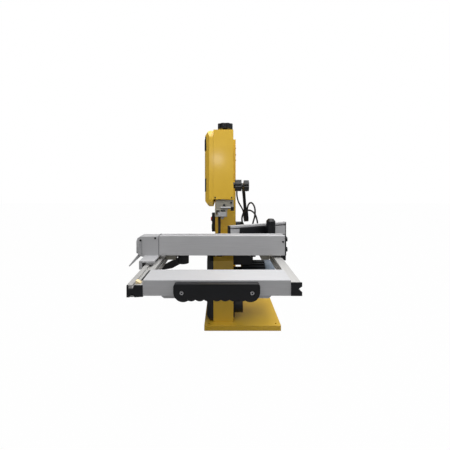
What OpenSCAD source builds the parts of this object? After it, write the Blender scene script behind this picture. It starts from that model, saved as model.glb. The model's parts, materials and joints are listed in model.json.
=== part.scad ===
// Benchtop band saw with an extendable table, a rip fence and a mitre gauge.
// Millimetres. +X is the machine's right (blade side), +Y its rear, +Z up.
// The origin is the centre of the base plate's underside.

/* [Base] */
// Base plate length, along X
base_l = 400; // [380:10:420]
// Base plate depth, along Y
base_d = 300; // [290:10:320]
// Height of the folded edge
base_h = 20; // [18:1:20]
// Distance of each bolt hole from the two edges
base_hole_inset = 18; // [16:1:20]
// Radius of the bolt holes
base_hole_r = 4; // [3:0.5:4.5]

/* [Frame] */
// Sheet steel thickness
sheet = 2.5; // [2:0.5:2.5]
// Overall height of the wheel housing's top
frame_top = 790; // [785:1:795]
// Screws on the side of the upper housing
side_screws = 2; // [2:2:4]

/* [Wheels] */
// Radius of a wheel over its tyre
wheel_r = 126.5; // [125:0.5:126.5]
// Width of a wheel
wheel_w = 20; // [16:1:20]
// Spokes in a wheel
wheel_spokes = 5; // [3:1:6]
// Width of the blade
blade_w = 10; // [6:1:10]
// Thickness of the blade
blade_t = 0.7; // [0.5:0.1:0.8]

/* [Table] */
// Table size along X
table_l = 340; // [330:5:340]
// Table size along Y
table_d = 368; // [364:2:368]
// Thickness of the table plate
table_t = 11; // [8:1:11]

/* [Fence and mitre gauge] */
// Height of the rip fence bar
fence_h = 66; // [40:1:66]
// Length of the mitre fence
mitre_l = 264; // [220:4:264]
// Height of the mitre fence
mitre_h = 63; // [46:1:64]

/* [Cord] */
// Cord diameter
cord_d = 8; // [6:0.5:8]

/* [Hidden] */
$fn = 64;
eps = 0.01;
gap = 0.4;
// colours
yellow = [0.95, 0.72, 0.03];
black = [0.06, 0.06, 0.065];
alloy = [0.74, 0.75, 0.76];
steel = [0.6, 0.6, 0.62];
cast = [0.5, 0.51, 0.53];
// wheels and blade
wheel_x = 8;
wheel_y = -91;
low_z = 155;
up_z = 651;
blade_in_r = 127;
blade_x = wheel_x + blade_in_r;
rod_y = -66;
// housings
box_x0 = -165;
box_x1 = 170;
box_y0 = -115;
box_y1 = -35;
up_z0 = 511;
low_z1 = 290;
cham_z = 264;
col_x1 = -110;
col_y1 = -13;
door_gap = 0.5;
hinge_x = -171;
hinge_y = -119;
hinge_r = 2.5;
latch_x = 115;
up_latch_z = 732;
latch_r = 28;
low_latch_z = 150;
// guide post
post_x = 150;
post_y = -76;
post_w = 16;
knob_z = 566;
track_z = 562;
// motor
motor_x = 75;
motor_z = 172;
motor_r = 68;
pulley_big = 42;
pulley_small = 16;
// dust outlet
dust_x = 130;
dust_z = 75;
dust_r = 28;
// table
top_z = 335;
tab_x0 = -35;
tab_x1 = tab_x0 + table_l;
tab_y0 = -279;
tab_y1 = tab_y0 + table_d;
slot_x = 173;
slot_w = 19;
slot_h = 6;
// rails
rail_x0 = 60;
rail_x1 = 597;
lever_y = -222;
end_x0 = 511;
end_x1 = 599;
fr_y0 = -321;
fr_y1 = tab_y0 - 1;
rr_y0 = tab_y1 + 5;
rr_y1 = rr_y0 + 27;
// fence
fen_x0 = 323;
fen_x1 = 363;
fen_z0 = 336;
// mitre gauge
mit_y = 67;
mit_turn = 115;
mit_z0 = 344;
// cord
hook_x = -137;
hook_top_z = 552;
hook_low_z = 366;
hank_r = 24;
hank_y = 27;
hank_z = 545;
hank_l = 140;
hank_t = 24;
hank_lean = 5;
relief_x = -157;

// ---------- shared shapes ----------

// Rounded rectangle, cornered at the origin
module rrect(w, h, r) {
    translate([r, 0]) square([w - 2 * r, h]);
    translate([0, r]) square([w, h - 2 * r]);
    for (x = [r, w - r], y = [r, h - r]) translate([x, y]) circle(r);
}

// Box from corner to corner
module box(a, b) {
    translate(a) cube([b[0] - a[0], b[1] - a[1], b[2] - a[2]]);
}

// Cylinder along Y from y0 to y1
module ycyl(x, y0, y1, z, r) {
    translate([x, y0, z]) rotate([-90, 0, 0]) cylinder(h = y1 - y0, r = r);
}

// Cylinder along X from x0 to x1
module xcyl(x0, x1, y, z, r) {
    translate([x0, y, z]) rotate([0, 90, 0]) cylinder(h = x1 - x0, r = r);
}

// Plate in the X-Z plane with a 2D outline, from y0 to y1
module yplate(y0, y1) {
    translate([0, y1, 0]) rotate([90, 0, 0]) linear_extrude(y1 - y0) children();
}

// Knob with lobes, its axis along Z
module lobed_knob(r, h, lobes) {
    difference() {
        cylinder(h = h, r = r);
        for (i = [0 : lobes - 1]) rotate(i * 360 / lobes) translate([r * 1.12, 0, -1])
            cylinder(h = h + 2, r = r * 0.24);
    }
}

// Tube swept along points, as one polyhedron
function unit(v) = v / norm(v);
function tangent(p, i) = unit(p[min(i + 1, len(p) - 1)] - p[max(i - 1, 0)]);
function side_of(t) = unit(cross(t, abs(t[0]) < 0.9 ? [1, 0, 0] : [0, 1, 0]));
module tube(p, r, n) {
    ring = [for (i = [0 : len(p) - 1], k = [0 : n - 1])
        let (t = tangent(p, i), u = side_of(t), v = cross(t, u), a = 360 * k / n)
        p[i] + r * (cos(a) * u + sin(a) * v)];
    walls = [for (i = [0 : len(p) - 2], k = [0 : n - 1])
        [i * n + k, i * n + (k + 1) % n, (i + 1) * n + (k + 1) % n, (i + 1) * n + k]];
    low = [for (k = [0 : n - 1]) n - 1 - k];
    high = [for (k = [0 : n - 1]) (len(p) - 1) * n + k];
    polyhedron(ring, concat(walls, [low, high]));
}

// ---------- frame ----------

module base_plate() color(yellow) difference() {
    union() {
        difference() {
            translate([-base_l / 2, -base_d / 2, 0]) linear_extrude(base_h) rrect(base_l, base_d, 3);
            translate([-base_l / 2 + sheet, -base_d / 2 + sheet, -1])
                linear_extrude(base_h - sheet + 1) rrect(base_l - 2 * sheet, base_d - 2 * sheet, 1);
        }
        for (x = [-1, 1], y = [-1, 1])
            translate([x * (base_l / 2 - base_hole_inset), y * (base_d / 2 - base_hole_inset), 0])
                cylinder(h = base_h - eps, r = base_hole_inset - 5);
    }
    for (x = [-1, 1], y = [-1, 1])
        translate([x * (base_l / 2 - base_hole_inset), y * (base_d / 2 - base_hole_inset), -1])
            cylinder(h = base_h + 2, r = base_hole_r);
}

// Folded column: closed between the housings, a channel behind them
module frame_spine() color(yellow) {
    difference() {
        box([box_x0, box_y0, low_z1], [col_x1, col_y1, up_z0]);
        box([box_x0 + sheet, box_y0 + sheet, low_z1 - 1], [col_x1 - sheet, col_y1 - sheet, up_z0 + 1]);
    }
    for (z = [[base_h, low_z1], [up_z0, frame_top]]) difference() {
        box([box_x0, box_y1, z[0]], [col_x1, col_y1, z[1]]);
        box([box_x0 + sheet, box_y1 - 1, z[0] - 1], [col_x1 - sheet, col_y1 - sheet, z[1] + 1]);
    }
}

module housing_outline(z0, z1, cham) {
    polygon([[box_x0, z0], [box_x1, z0], [box_x1, z1 - cham], [box_x1 - cham, z1],
        [box_x0, z1]]);
}

// Open at the front, with a back plate; the door closes it
module upper_wheel_housing() color(yellow) {
    upper_box();
    // two ways that the tension block runs between, and the guide post's channel
    for (x = [22.5, 28]) translate([x == 28 ? wheel_x - x : wheel_x + x, -80, up_z - 60])
        cube([5.5, 80 + box_y1 - sheet, 160]);
    for (x = [post_x - 14, post_x + 8.5]) box([x, post_y - 4, 516], [x + 5.5, box_y1 - sheet, 610]);
}

module upper_box() difference() {
    translate([0, box_y1, 0]) rotate([90, 0, 0]) linear_extrude(box_y1 - box_y0)
        translate([box_x0, up_z0]) square([box_x1 - box_x0, frame_top - up_z0]);
    yplate(box_y0 - 1, box_y1 - sheet)
        translate([box_x0 + sheet, up_z0 + sheet])
            square([box_x1 - box_x0 - 2 * sheet, frame_top - up_z0 - 2 * sheet]);
    // guide post and blade slot, and the rising blade beside the column
    box([112, box_y0 + 8, up_z0 - 1], [box_x1 - 8, -62, up_z0 + sheet + 1]);
    box([box_x0 + sheet, box_y0 + sheet, up_z0 - 1], [col_x1 - sheet, -70, up_z0 + sheet + 1]);
    // tension screw, guide lock and tracking screw holes
    translate([wheel_x, rod_y, frame_top - 10]) cylinder(h = 20, r = 5.05);
    ycyl(post_x, -40, -30, knob_z, 5.05);
    ycyl(wheel_x, -40, -30, track_z, 5.05);
    for (i = [0 : side_screws / 2 - 1], y = [-108, -42])
        xcyl(box_x1 - 5, box_x1 + 1, y, 518 + i * 240, 1.5);
}

module lower_wheel_housing() color(yellow) difference() {
    yplate(box_y0, box_y1) housing_outline(base_h, low_z1, low_z1 - cham_z);
    yplate(box_y0 - 1, box_y1 - sheet) housing_inner();
    box([112, box_y0 - 1, 250], [156, -70, low_z1 + 1]);
    box([box_x0 + sheet, box_y0 + sheet, low_z1 - sheet - 1], [col_x1 - sheet, -70, low_z1 + 1]);
    // motor shaft, wheel shaft and dust port
    ycyl(motor_x, -40, -30, motor_z, 20);
    ycyl(wheel_x, -40, -30, low_z, 12);
    ycyl(dust_x, -40, -30, dust_z, dust_r);
}

module housing_inner() {
    polygon([[box_x0 + sheet, base_h + sheet], [box_x1 - sheet, base_h + sheet],
        [box_x1 - sheet, cham_z - 1], [box_x1 - (low_z1 - cham_z) - 1, low_z1 - sheet],
        [box_x0 + sheet, low_z1 - sheet]]);
}

// Fixed hinge leaves and pins of both doors, and the screws of the upper housing
module frame_fasteners() color(steel) {
    for (z = [537, 727, 85, 215]) {
        translate([hinge_x, hinge_y, z]) cylinder(h = 36, r = hinge_r);
        translate([hinge_x, hinge_y, z]) cylinder(h = 12, r = 4);
        box([hinge_x - 2, hinge_y, z], [box_x0, hinge_y + 24, z + 11.6]);
    }
    for (i = [0 : side_screws / 2 - 1], y = [-108, -42])
        xcyl(box_x1, box_x1 + 1.6, y, 518 + i * 240, 3);
    for (z = [687, 715, 748]) ycyl(hook_x, col_y1, col_y1 + 2.6, z, 4);
}

// Door knuckles that turn on the pins
module knuckles(levels) for (z = levels) difference() {
    union() {
        translate([hinge_x, hinge_y, z + 12.4]) cylinder(h = 20, r = 5);
        box([hinge_x, hinge_y - 5, z + 12.4], [box_x0 + 4, hinge_y, z + 32.4]);
    }
    translate([hinge_x, hinge_y, z]) cylinder(h = 50, r = hinge_r + 0.05);
}

// Door pan: a rounded outline cut by a bevel along each of its four sides
module door_pan(o, front, back) intersection() {
    yplate(front, back) translate([box_x0 + o, 480 + o])
        rrect(box_x1 - box_x0 - 2 * o, frame_top - 480 - 2 * o, 34 - o);
    translate([box_x0 - 1, 0, 0]) rotate([90, 0, 90]) linear_extrude(box_x1 - box_x0 + 2)
        polygon([[back + 1, 480 + o], [-132, 480 + o], [front, 502 + o], [front, frame_top - 22 - o],
            [-132, frame_top - o], [back + 1, frame_top - o]]);
    translate([0, 0, 479]) linear_extrude(frame_top - 478)
        polygon([[box_x0 + o, back + 1], [box_x0 + o, -132], [box_x0 + 22 + o, front],
            [box_x1 - 22 - o, front], [box_x1 - o, -132], [box_x1 - o, back + 1]]);
}

// Its lower part hangs below the housing
module upper_door() color(yellow) {
    difference() {
        door_pan(0, -149, box_y0 - door_gap);
        door_pan(sheet, -149 + sheet, box_y0 + 5);
        ycyl(latch_x, -150, -130, up_latch_z, 4);
    }
    difference() {
        knuckles([537, 727]);
        box([box_x0 + sheet - 1, -149, 400], [box_x1, -100, 800]);
    }
}

module low_outline(o, y) yplate(y, y + 0.1)
    polygon([[box_x0 + o, 24 + o], [box_x1 - 8 - o, 24 + o], [box_x1 - o, 34 + o],
        [box_x1 - o, cham_z - o / 2], [box_x1 - (low_z1 - cham_z) - o / 2, low_z1 - o],
        [box_x0 + o, low_z1 - o]]);

module lower_door() color(black) {
    difference() {
        hull() {
            low_outline(0, -129);
            low_outline(0, box_y0 - door_gap - 0.1);
            low_outline(12, -141);
        }
        hull() {
            low_outline(sheet, -129);
            low_outline(sheet, box_y0 + 5);
            low_outline(12 + sheet, -141 + sheet);
        }
        ycyl(latch_x, -150, -130, low_latch_z, 4);
    }
    difference() {
        knuckles([85, 215]);
        box([box_x0 + sheet - 1, -141, 0], [box_x1, -100, 400]);
    }
}

// Quarter-turn latch: knob, spindle and a tongue behind the housing's rim
module latch(z, y) translate([latch_x, y, z]) rotate([90, 0, 0]) color(black) {
    translate([0, 0, gap]) cylinder(h = 2.4, r = latch_r);
    translate([-4, -22, 2]) cube([8, 44, 2.4]);
    translate([0, 0, -sheet - 6]) cylinder(h = sheet + 7, r = 3.95);
    translate([-6, -6, -sheet - 9]) cube([12, 12, 4]);
}

module upper_door_latch() latch(up_latch_z, -149);

module lower_door_latch() latch(low_latch_z, -141);

// ---------- wheels and drive ----------

// Cast wheel with spokes, turning about Y
module wheel(z, bore) yplate(wheel_y - wheel_w / 2, wheel_y + wheel_w / 2) translate([wheel_x, z])
    difference() {
        union() {
            difference() {
                circle(wheel_r - 3);
                circle(wheel_r - 14);
            }
            circle(24);
            for (i = [0 : wheel_spokes - 1]) rotate(i * 360 / wheel_spokes)
                translate([20, -7]) square([wheel_r - 28, 14]);
        }
        circle(bore);
    }

module tyre(z) yplate(wheel_y - wheel_w / 2, wheel_y + wheel_w / 2) translate([wheel_x, z])
    difference() {
        circle(wheel_r);
        circle(wheel_r - 3);
    }

module upper_wheel() color(alloy) wheel(up_z, 8.05);

module upper_tyre() color(black) tyre(up_z);

// Wheel with the large belt pulley on its back
module lower_wheel() color(alloy) {
    wheel(low_z, 10.05);
    difference() {
        ycyl(wheel_x, wheel_y + wheel_w / 2, -58, low_z, pulley_big);
        ycyl(wheel_x, wheel_y, -57, low_z, 10.05);
    }
}

module lower_tyre() color(black) tyre(low_z);

// Fixed stub shaft of the lower wheel, and the lower blade guide
module lower_fittings() color(steel) {
    lower_shaft();
    lower_guide();
}

module lower_shaft() {
    ycyl(wheel_x, wheel_y - wheel_w / 2 - 4, box_y1 - sheet, low_z, 10);
    ycyl(wheel_x, -56, box_y1 - sheet, low_z, 20);
    ycyl(wheel_x, wheel_y - wheel_w / 2 - 8, wheel_y - wheel_w / 2 - 1, low_z, 14);
}

module motor_pulley() color(alloy) {
    ycyl(motor_x, -79, -59, motor_z, pulley_small);
    ycyl(motor_x, -60, 3, motor_z, 7.95);
}

// Flat ribbed belt around both pulleys
module drive_belt() color(black) {
    dx = motor_x - wheel_x;
    dz = motor_z - low_z;
    dist = norm([dx, dz]);
    lean = atan2(dz, dx);
    yplate(-75, -63) translate([wheel_x, low_z]) rotate(lean) difference() {
        belt_shape(dist, 4);
        belt_shape(dist, gap);
    }
}

module belt_shape(dist, extra) hull() {
    circle(pulley_big + extra);
    translate([dist, 0]) circle(pulley_small + extra);
}

// Slide block that carries the upper wheel on its stub shaft
module tension_block() color(cast) difference() {
    union() {
        ycyl(wheel_x, wheel_y - wheel_w / 2 - 4, -62, up_z, 8);
        ycyl(wheel_x, wheel_y - wheel_w / 2 - 8, wheel_y - wheel_w / 2 - 1, up_z, 13);
        box([wheel_x - 22, -80.4, up_z - 24], [wheel_x + 22, -56, up_z + 40]);
    }
    translate([wheel_x, rod_y, up_z - 60]) cylinder(h = 160, r = 5.05);
}

module tension_knob() color(black) {
    translate([wheel_x, rod_y, 819]) lobed_knob(34.5, 24, 8);
    translate([wheel_x, rod_y, frame_top + gap]) cylinder(h = 30, r = 10);
    translate([wheel_x, rod_y, up_z + 15]) cylinder(h = 140, r = 5);
}

module tracking_knob() color(black) {
    ycyl(wheel_x, -54, 20, track_z, 5);
    ycyl(wheel_x, box_y1 + gap, -28, track_z, 9);
    translate([wheel_x, 18, track_z]) rotate([-90, 0, 0]) lobed_knob(25, 23, 6);
}

// Endless blade: two straight runs and two half turns
module blade_shape(r) {
    translate([wheel_x, low_z]) circle(r, $fn = 180);
    translate([wheel_x, up_z]) circle(r, $fn = 180);
    translate([wheel_x - r, low_z]) square([2 * r, up_z - low_z]);
}

module blade() color(steel) yplate(wheel_y - blade_w / 2, wheel_y + blade_w / 2) difference() {
    blade_shape(blade_in_r + blade_t);
    blade_shape(blade_in_r);
}

module motor_body() color(cast) difference() {
    union() {
        ycyl(motor_x, 4, 100, motor_z, motor_r - 6);
        for (a = [0 : 12 : 348]) translate([motor_x, 4, motor_z]) rotate([0, a, 0])
            translate([-2, 2, 30]) cube([4, 92, motor_r - 30]);
        ycyl(motor_x, box_y1, 4, motor_z, 40);
    }
    ycyl(motor_x, box_y1 - 1, 30, motor_z, 21);
}

module motor_end_cover() color([0.42, 0.45, 0.5]) difference() {
    union() {
        ycyl(motor_x, 100, 132, motor_z, motor_r);
        ycyl(motor_x, 132, 142, motor_z, motor_r - 12);
    }
    for (a = [0 : 30 : 330]) translate([motor_x, 0, motor_z]) rotate([0, a, 0])
        translate([0, 146, 40]) cube([7, 20, 22], center = true);
}

// Its underside follows the motor's round body
module terminal_box() color(black) difference() {
    translate([motor_x - 35, 0, 0]) rotate([90, 0, 90]) linear_extrude(70)
        polygon([[-33, 226], [45, 226], [45, 260], [33, 272], [-33, 272]]);
    ycyl(motor_x, -36, 46, motor_z, motor_r + 0.1);
}

module dust_port() color(black) difference() {
    union() {
        ycyl(dust_x, box_y1, 4, dust_z, dust_r + 4);
        box([dust_x - 38, box_y1, dust_z - 38], [dust_x + 38, box_y1 + 5, dust_z + 38]);
    }
    ycyl(dust_x, box_y1 - 1, 5, dust_z, dust_r);
}

// ---------- switch, trunnion and cord ----------

module switch_housing() color(black) difference() {
    yplate(-131, box_y0) translate([-160, 330]) rrect(45, 92, 5);
    for (z = [352, 392]) ycyl(hook_x, -132, -119, z, 13);
}

module button(z) {
    ycyl(hook_x, -133, -124, z, 12.5);
    ycyl(hook_x, -124, -123, z, 8);
}

module green_button() color([0.05, 0.55, 0.2]) button(352);

module red_button() color([0.8, 0.08, 0.06]) {
    button(392);
    ycyl(hook_x, -137, -133, 392, 10);
}

module trunnion_base() color(cast) difference() {
    box([92, -62, low_z1], [144, -38, 308]);
    ycyl(blade_x, -65, -35, top_z, 38.4);
    xcyl(90, 104, -50, 299, 4.05);
}

// Half-round segment under the table, centred on the tilt axis
module trunnion_segment() color(cast) intersection() {
    ycyl(blade_x, -58, -42, top_z, 38);
    box([80, -60, 290], [190, -40, top_z - table_t]);
}

module tilt_knob() color(black) {
    xcyl(76, 103, -50, 299, 4);
    translate([60, -50, 299]) rotate([0, 90, 0]) lobed_knob(8.5, 20, 6);
}

module lower_guide() difference() {
    box([123, -84, low_z1], [147, -62.5, 302]);
    box([blade_x - 2, -100, low_z1 - 1], [blade_x + 3, -82, 303]);
}

// Two pegs with heads; the cord hangs from the upper one
module cord_hooks() color(black) {
    ycyl(hook_x, col_y1, 42, hook_top_z, 11.5);
    ycyl(hook_x, 41, 46, hook_top_z, 22);
    ycyl(hook_x, col_y1, 19, hook_low_z, 12);
    ycyl(hook_x, 18, 23, hook_low_z, 20);
}

// Elbow boot, its outlet pointing down
module strain_relief() color(black) {
    ycyl(relief_x, col_y1, -5, 572, 7.5);
    translate([relief_x, -5, 548]) cylinder(h = 32, r = 5.5);
}

// Loose cord from the strain relief down to the hank
function lead_route() = [[-157, -5, 566], [-157, -5, 556], [-157, -5, 545.5], [-157, -5, 535.5], [-157, -5, 525],
    [-157, -5, 515], [-157, -4, 504.5], [-157.5, -2, 494.5], [-157.5, 0.5, 484.5], [-158, 4, 475],
    [-158.5, 8.5, 466], [-159.5, 13.5, 457], [-160, 19, 448], [-160.5, 23.5, 439],
    [-161, 27.5, 430], [-161, 30, 420]];

// Loose loops from the hank to the plug
function tail_route() = [[-113, 46.5, 411], [-113, 45.5, 424.5], [-115.5, 45, 437], [-114, 46, 450], [-109, 48.5, 462],
    [-100, 52.5, 471], [-89, 56.5, 476], [-76.5, 61.5, 477.5], [-65, 66.5, 474.5],
    [-54.5, 70.5, 467.5], [-46.5, 74, 457.5], [-42.5, 75.5, 445.5], [-42, 75.5, 432],
    [-43.5, 74.5, 419], [-46, 72.5, 406.5], [-49.5, 69, 394], [-53, 66.5, 382],
    [-58, 62.5, 370.5], [-65.5, 56.5, 361.5], [-75, 48.5, 356.5], [-85, 40, 356],
    [-94.5, 32, 360], [-102.5, 25, 368], [-107.5, 20, 379.5], [-109.5, 18, 392], [-108, 19, 405],
    [-105.5, 22, 417.5], [-101, 28, 428.5], [-95, 37, 436.5], [-88, 47.5, 440],
    [-81, 58.5, 439.5], [-74.5, 68.5, 434], [-70, 77, 425], [-67, 82.5, 413.5], [-66, 86, 401],
    [-64.5, 89, 388], [-65, 89.5, 375], [-66, 88, 362], [-67, 85, 349.5], [-68, 81, 337],
    [-69, 75.5, 325], [-70, 70, 313], [-71, 65, 301], [-71, 62, 288], [-71, 60.5, 275],
    [-71, 60.5, 262]];

module power_cord() color(black) {
    tube(lead_route(), cord_d / 2, 10);
    tube(tail_route(), cord_d / 2, 10);
}

// Three turns of cord as one closed shape, leaning away from the column
module hank_shape(r) {
    for (z = [-hank_l, 0]) translate([0, z]) circle(r);
    translate([-r, -hank_l]) square([2 * r, hank_l]);
}

module cord_hank() color(black) translate([hook_x, hank_y, hank_z]) rotate([hank_lean, 0, 0])
    yplate(-hank_t / 2, hank_t / 2) difference() {
        hank_shape(hank_r + 4);
        hank_shape(hank_r - 4);
    }

// Moulded plug hanging at the cord's end, its pins downwards
module plug() translate([-71, 65, 264]) rotate([180, 0, 0]) {
    color(black) {
        cylinder(h = 12, r = 5.5);
        translate([-12, -12, 12]) linear_extrude(26) rrect(24, 24, 5);
        translate([-14, -16, 36]) linear_extrude(8) rrect(28, 32, 5);
    }
    color(steel) for (x = [-6.5, 6.5]) translate([x - 1, -3, 43]) cube([2, 6, 17]);
}

// ---------- table and its extension ----------

module table_top() color(alloy) difference() {
    translate([tab_x0, tab_y0, top_z - table_t]) linear_extrude(table_t) rrect(table_l, table_d, 5);
    translate([blade_x, wheel_y, top_z - table_t - 1]) cylinder(h = table_t + 2, r = 20);
    translate([blade_x, wheel_y, top_z - 3]) cylinder(h = 4, r = 25.05);
    // slit for changing the blade, and the mitre slot
    box([blade_x, wheel_y - 1, top_z - table_t - 1], [tab_x1 + 1, wheel_y + 1, top_z + 1]);
    box([slot_x - slot_w / 2, tab_y0 - 1, top_z - slot_h], [slot_x + slot_w / 2, tab_y1 + 1, top_z + 1]);
}

module table_insert() color(black) translate([blade_x, wheel_y, top_z - 3]) difference() {
    cylinder(h = 3, r = 25);
    translate([-2, -8, -1]) cube([30, 16, 5]);
}

// Brackets under the table's front and rear edges, with tongues that carry the rails
module carriers() color(cast) {
    for (x = [110, 235]) {
        box([x, tab_y0 + 1, 303], [x + 60, -245, top_z - table_t]);
        box([x, tab_y0 - 7, 308], [x + 60, tab_y0 + 1, 314]);
        box([x, 60, 303], [x + 60, tab_y1 - 1, top_z - table_t]);
        box([x, tab_y1 - 1, 309], [x + 60, tab_y1 + 11, 315]);
    }
}

// Lever that locks the extension: a round hub and an arm that slopes down to the front
module extension_lever() color(black) {
    translate([265, lever_y, 284]) cylinder(h = 39.6, r = 20);
    translate([258, 0, 0]) rotate([90, 0, 90]) linear_extrude(14)
        polygon([[-228, 284], [-228, 303], [-240, 303], [-270, 289], [-300, 273], [-300, 259], [-262, 266]]);
}

module rail_profile(groove) difference() {
    square([41, 31]);
    // grooves: inner face, outer face and top
    translate([29, groove]) square([13, 8]);
    translate([-1, 9]) square([7, 11]);
    translate([14, 25]) square([12, 7]);
    translate([8, 5]) square([17, 16]);
}

// Aluminium extrusion along X
module front_rail() color(alloy) translate([rail_x0, fr_y0, 292])
    rotate([90, 0, 90]) linear_extrude(rail_x1 - rail_x0) rail_profile(15);

module rear_rail() color(alloy) translate([rail_x0, rr_y0, 297])
    rotate([90, 0, 90]) linear_extrude(rail_x1 - rail_x0) difference() {
        square([27, 31]);
        translate([-1, 11]) square([8, 8]);
        polygon([[28, 8], [20, 15.5], [28, 23]]);
    }

module rail_caps() color(black) {
    for (x = [rail_x0 - 4, rail_x1]) {
        translate([x, 0, 0]) rotate([90, 0, 90]) linear_extrude(4)
            polygon([[-320.5, 292.5], [-313, 292.5], [-311, 299], [-304, 301], [-300, 292.5],
                [-280.4, 294], [-280.4, 323], [-303, 323], [-304, 314], [-316, 314],
                [-317, 323], [-320.5, 323]]);
        translate([x, rr_y0, 296]) rotate([90, 0, 90]) linear_extrude(4)
            polygon([[0, 0], [28, 0], [28, 10], [18, 17], [28, 24], [28, 34], [0, 34]]);
    }
}

// Side support between the rails, with a rounded lower lip
module end_bar() color(alloy) difference() {
    union() {
        box([end_x0, fr_y1, 296], [end_x1, rr_y0, top_z]);
        translate([end_x1 - 18, 0, 0]) rotate([90, 0, 90]) linear_extrude(16)
            polygon([[-236, 298], [-232, 293], [-227, 289], [38, 289], [43, 293], [47, 298]]);
    }
    box([end_x0 + 4, fr_y1 - 1, 300], [end_x1 - 4, rr_y0 + 1, top_z - 4]);
    for (y = [-180, -5]) xcyl(end_x1 - 10, end_x1 + 1, y, 308.5, 2.5);
}

// Outline of the pull handle: large lower corners and a scalloped lower edge
module handle_outline() {
    translate([22, 6]) square([170, 38]);
    translate([0, 24]) square([214, 14]);
    translate([6, 30]) square([202, 14]);
    for (y = [24, 190]) intersection() {
        translate([y, 24]) circle(24);
        square([214, 44]);
    }
    for (y = [6, 208]) translate([y, 38]) circle(6);
    for (i = [0 : 6]) translate([44 + i * 21, 18]) circle(16);
}

module extension_handle() color(black) difference() {
    translate([end_x1, -200, 287]) rotate([90, 0, 90]) linear_extrude(17) handle_outline();
    // hollow behind the front lip, open below
    box([end_x1 + 2.5, -165, 270], [end_x1 + 13, -21, 318]);
    for (y = [-180, -5]) {
        xcyl(end_x1 - 1, end_x1 + 20, y, 308.5, 2.5);
        xcyl(end_x1 + 13, end_x1 + 20, y, 308.5, 6);
    }
}

module handle_screws() color(steel) for (y = [-180, -5]) {
    xcyl(end_x1 - 8, end_x1 + 14, y, 308.5, 2.4);
    xcyl(end_x1 + 13, end_x1 + 16, y, 308.5, 5);
}

module pointer_piece() color([0.85, 0.8, 0.65])
    box([576, -301, 323], [590, -287, 331]);

// ---------- rip fence ----------

// Hollow box section along Y
module fence_bar() color(alloy) difference() {
    box([fen_x0, -290, fen_z0], [fen_x1, 130, fen_z0 + fence_h]);
    box([fen_x0 + 3, -291, fen_z0 + 3], [fen_x1 - 3, 131, fen_z0 + fence_h - 3]);
    box([fen_x0 + 14, -291, fen_z0 + fence_h - 4], [fen_x1 - 14, 131, fen_z0 + fence_h + 1]);
}

// Cast head that rides on the front rail
module fence_head() color(cast) difference() {
    union() {
        translate([fen_x0 - 8, 0, 0]) rotate([90, 0, 90]) linear_extrude(fen_x1 - fen_x0 + 8)
            polygon([[-290, 332], [-290, 399], [-352, 399], [-362, 394], [-366, 384], [-366, 345],
                [-348, 332]]);
        box([fen_x0 - 8, fr_y0 - 12, 300], [fen_x1, fr_y0 - 0.5, 340]);
        // base plate with a front lip, standing on two pads
        box([fen_x0 - 8, -338, 331], [430, -290, 336]);
        box([fen_x0 - 8, -338, 310], [430, -329, 336]);
        for (x = [fen_x0 - 3, 405]) box([x, -318, 323.4], [x + 20, -292, 332]);
    }
    // lever pocket and its pin
    box([fen_x0 + 6, -370, 320], [fen_x1 - 8, -343, 382]);
    // shallow panel on the side that faces the saw's right
    box([fen_x1 - 1.5, -362, 342], [fen_x1 + 1, -349, 364]);
    xcyl(fen_x0 - 10, fen_x1 + 2, -354, 372, 3);
}

module fence_lever() color(alloy) {
    difference() {
        union() {
            xcyl(fen_x0 + 7, fen_x1 - 9, -354, 372, 8);
            box([fen_x0 + 7, -361, 336], [fen_x1 - 9, -354, 372]);
            translate([fen_x0 + 7, 0, 0]) rotate([90, 0, 90]) linear_extrude(fen_x1 - fen_x0 - 16)
                polygon([[-359, 342], [-350, 335], [-392, 296], [-394, 299.5]]);
        }
        xcyl(fen_x0, fen_x1, -354, 372, 3.05);
    }
}

// Rear cap of the fence with the hook that holds the rear rail
module fence_caps() color(black) {
    box([fen_x0, 130, fen_z0], [fen_x1, 134, fen_z0 + fence_h]);
    for (z = [355, 389]) ycyl(fen_x1 - 10, 134, 139, z, 8);
    box([fen_x0 + 6, 123, 318], [fen_x1 - 6, 134, fen_z0]);
}

module fence_pin() color(steel) xcyl(fen_x0 - 8, fen_x1, -354, 372, 3);

// ---------- mitre gauge ----------

module mitre_bar() color(steel) {
    box([slot_x - slot_w / 2 + gap, mit_y - 185, top_z - slot_h + gap], [slot_x + slot_w / 2 - gap, mit_y + 30, top_z]);
    translate([slot_x, mit_y, top_z - eps]) cylinder(h = 9, r = 5);
}

// Local frame of the head: u along the fence, n away from its face
module on_head() translate([slot_x, mit_y, 0]) rotate([0, 0, mit_turn]) mirror([0, 1, 0]) children();

// Head casting, with the end caps of its fence
module mitre_head() color(black) on_head() {
    head_casting();
    for (u = [16 - mitre_l / 2, 20 + mitre_l / 2]) box([u, -48, mit_z0], [u + 4, -30, mit_z0 + mitre_h]);
}

module head_casting() difference() {
    union() {
        translate([0, 0, top_z + gap]) linear_extrude(8) intersection() {
            translate([0, -30]) circle(75);
            translate([-90, -29.9]) square([180, 54]);
        }
        box([-72, -30, top_z + gap], [72, -22, mit_z0 + mitre_h - 12]);
        for (u = [-40, 34]) box([u, -23, top_z + gap], [u + 6, 8, 357]);
    }
    translate([0, 0, top_z - 1]) cylinder(h = 20, r = 5.05);
}

module mitre_fence() color(alloy) on_head() difference() {
    box([20 - mitre_l / 2, -48, mit_z0], [20 + mitre_l / 2, -30, mit_z0 + mitre_h]);
    box([19 - mitre_l / 2, -45, mit_z0 + 3], [21 + mitre_l / 2, -33, mit_z0 + 24]);
    box([19 - mitre_l / 2, -45, mit_z0 + 30], [21 + mitre_l / 2, -33, mit_z0 + mitre_h - 3]);
    box([19 - mitre_l / 2, -33.5, mit_z0 + mitre_h - 14], [21 + mitre_l / 2, -29, mit_z0 + mitre_h - 9]);
}

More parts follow.
